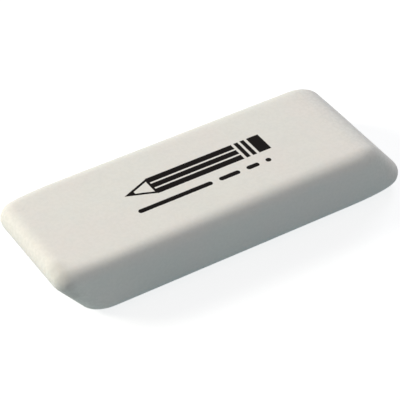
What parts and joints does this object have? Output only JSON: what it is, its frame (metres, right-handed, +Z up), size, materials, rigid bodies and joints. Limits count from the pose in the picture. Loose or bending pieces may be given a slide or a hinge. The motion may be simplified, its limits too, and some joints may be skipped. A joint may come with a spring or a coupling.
{
  "type": "rubber eraser",
  "caption": "White rubber eraser block with leaning ends and soft round edges, for rubbing out pencil marks; it lies flat on its base.",
  "frame": {"origin": "middle of the flat base", "axes": "+X along the block, towards the end whose nose is at the base; +Y across the block, towards the back; +Z up, out of the top face"},
  "size_m": [0.06, 0.021, 0.0097],
  "materials": {
    "white_rubber": "smooth matt moulded rubber, warm white"
  },
  "bodies": {
    "root": {"eraser_block": "white_rubber"}
  },
  "joints": []
}
